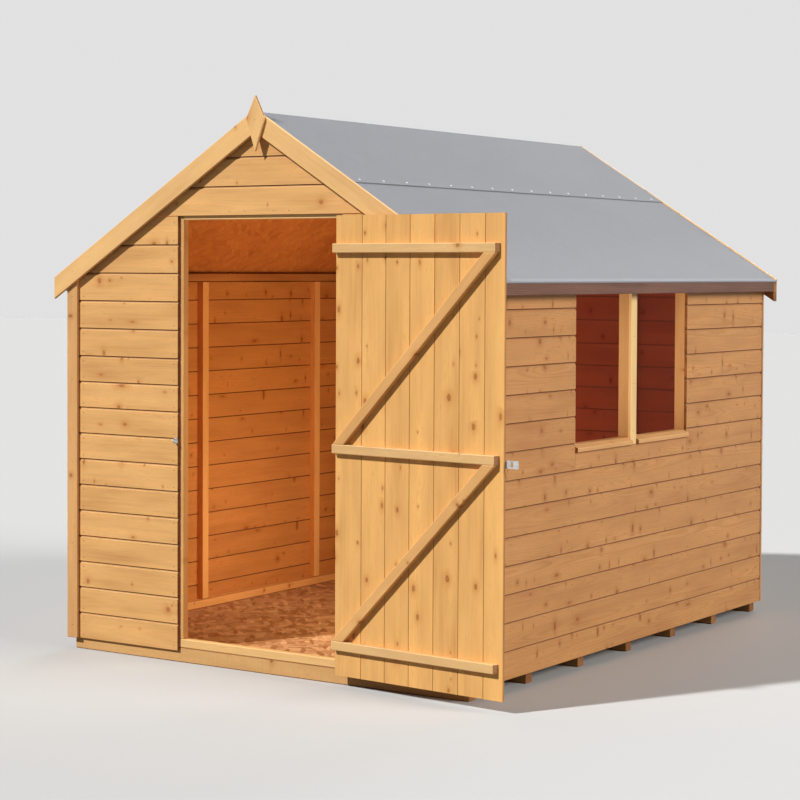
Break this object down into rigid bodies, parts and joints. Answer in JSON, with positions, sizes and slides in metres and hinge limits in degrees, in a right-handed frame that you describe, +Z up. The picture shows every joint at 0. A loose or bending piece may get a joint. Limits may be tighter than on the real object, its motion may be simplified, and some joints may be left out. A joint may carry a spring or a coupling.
{
  "type": "wooden garden shed",
  "caption": "Apex-roofed garden shed of shiplap boards on a timber frame and floor, with a glazed side wall and a ledged and braced door on tee hinges.",
  "frame": {"origin": "on the ground, at the centre of the middle bearer's underside", "axes": "+X right along the front gable, +Y from the front gable to the back, +Z up"},
  "size_m": [2.1434, 2.5601, 2.1153],
  "materials": {
    "bearer_timber": "sawn",
    "sheet_timber": "pressed strand board",
    "front_boards": "planed, honey stained",
    "side_boards": "planed, honey stained",
    "framing_timber": "sawn",
    "trim_timber": "planed",
    "door_timber": "planed, honey stained",
    "eave_timber": "planed, dark stained",
    "roofing_felt": "mineral-surfaced felt",
    "window_sheet": "clear sheet",
    "galvanised_steel": "galvanised"
  },
  "bodies": {
    "shed": {"floor_bearers": "bearer_timber", "floor_deck": "sheet_timber", "front_wall_left": "front_boards", "front_wall_right": "front_boards", "front_gable": "front_boards", "rear_wall": "front_boards", "left_wall": "side_boards", "right_wall_lower": "side_boards", "right_wall_front": "side_boards", "right_wall_rear": "side_boards", "window_apron_board": "side_boards", "window_mullion_strip": "trim_timber", "window_sills": "trim_timber", "window_panes": "window_sheet", "window_mullion_post": "framing_timber", "front_rails": "framing_timber", "front_studs": "framing_timber", "front_rafter_left": "framing_timber", "front_rafter_right": "framing_timber", "rear_bottom_rail": "framing_timber", "rear_studs": "framing_timber", "rear_rafter_left": "framing_timber", "rear_rafter_right": "framing_timber", "left_wall_rails": "framing_timber", "left_wall_studs": "framing_timber", "right_wall_rails": "framing_timber", "right_wall_studs": "framing_timber", "roof_sheet_left": "sheet_timber", "roof_sheet_right": "sheet_timber", "roof_felt_slopes": "roofing_felt", "roof_felt_cap": "roofing_felt", "eave_battens": "eave_timber", "roof_purlins": "framing_timber", "barge_front_left": "trim_timber", "barge_front_right": "trim_timber", "barge_rear_left": "trim_timber", "barge_rear_right": "trim_timber", "finial": "trim_timber", "corner_strips": "trim_timber", "hinge_plates": "galvanised_steel", "hasp_staple": "galvanised_steel"},
    "door": {"door_boards": "door_timber", "door_ledges": "door_timber", "door_braces": "door_timber", "hinge_straps": "galvanised_steel", "hasp_strap": "galvanised_steel"}
  },
  "joints": [
    {"name": "door_hinge", "type": "hinge", "parent": "shed", "child": "door", "pos_m": [0.372, -1.21, 0.848], "axis": [0, 0, 1], "range_deg": [-175, 0]}
  ]
}
